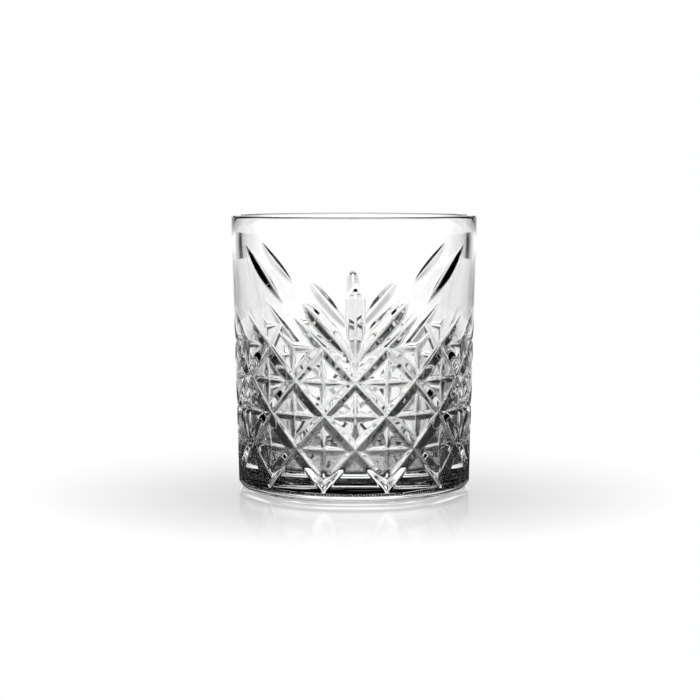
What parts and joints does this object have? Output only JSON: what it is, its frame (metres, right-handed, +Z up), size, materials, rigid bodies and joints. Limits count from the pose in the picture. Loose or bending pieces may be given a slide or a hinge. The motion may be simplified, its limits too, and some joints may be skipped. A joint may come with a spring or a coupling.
{
  "type": "whiskey tumbler",
  "caption": "Straight-sided pressed glass tumbler with a thick base, a lattice of star-cut diamonds round the lower wall, and fans of leaf cuts above it.",
  "frame": {"origin": "centre of the foot, on the plane that the glass stands on", "axes": "+Z up along the axis of the glass, -Y towards the front fan, +X to the right of it"},
  "size_m": [0.086, 0.086, 0.095],
  "materials": {
    "glass": "clear soda-lime glass, pressed and fire-polished"
  },
  "bodies": {
    "root": {"tumbler": "glass"}
  },
  "joints": []
}
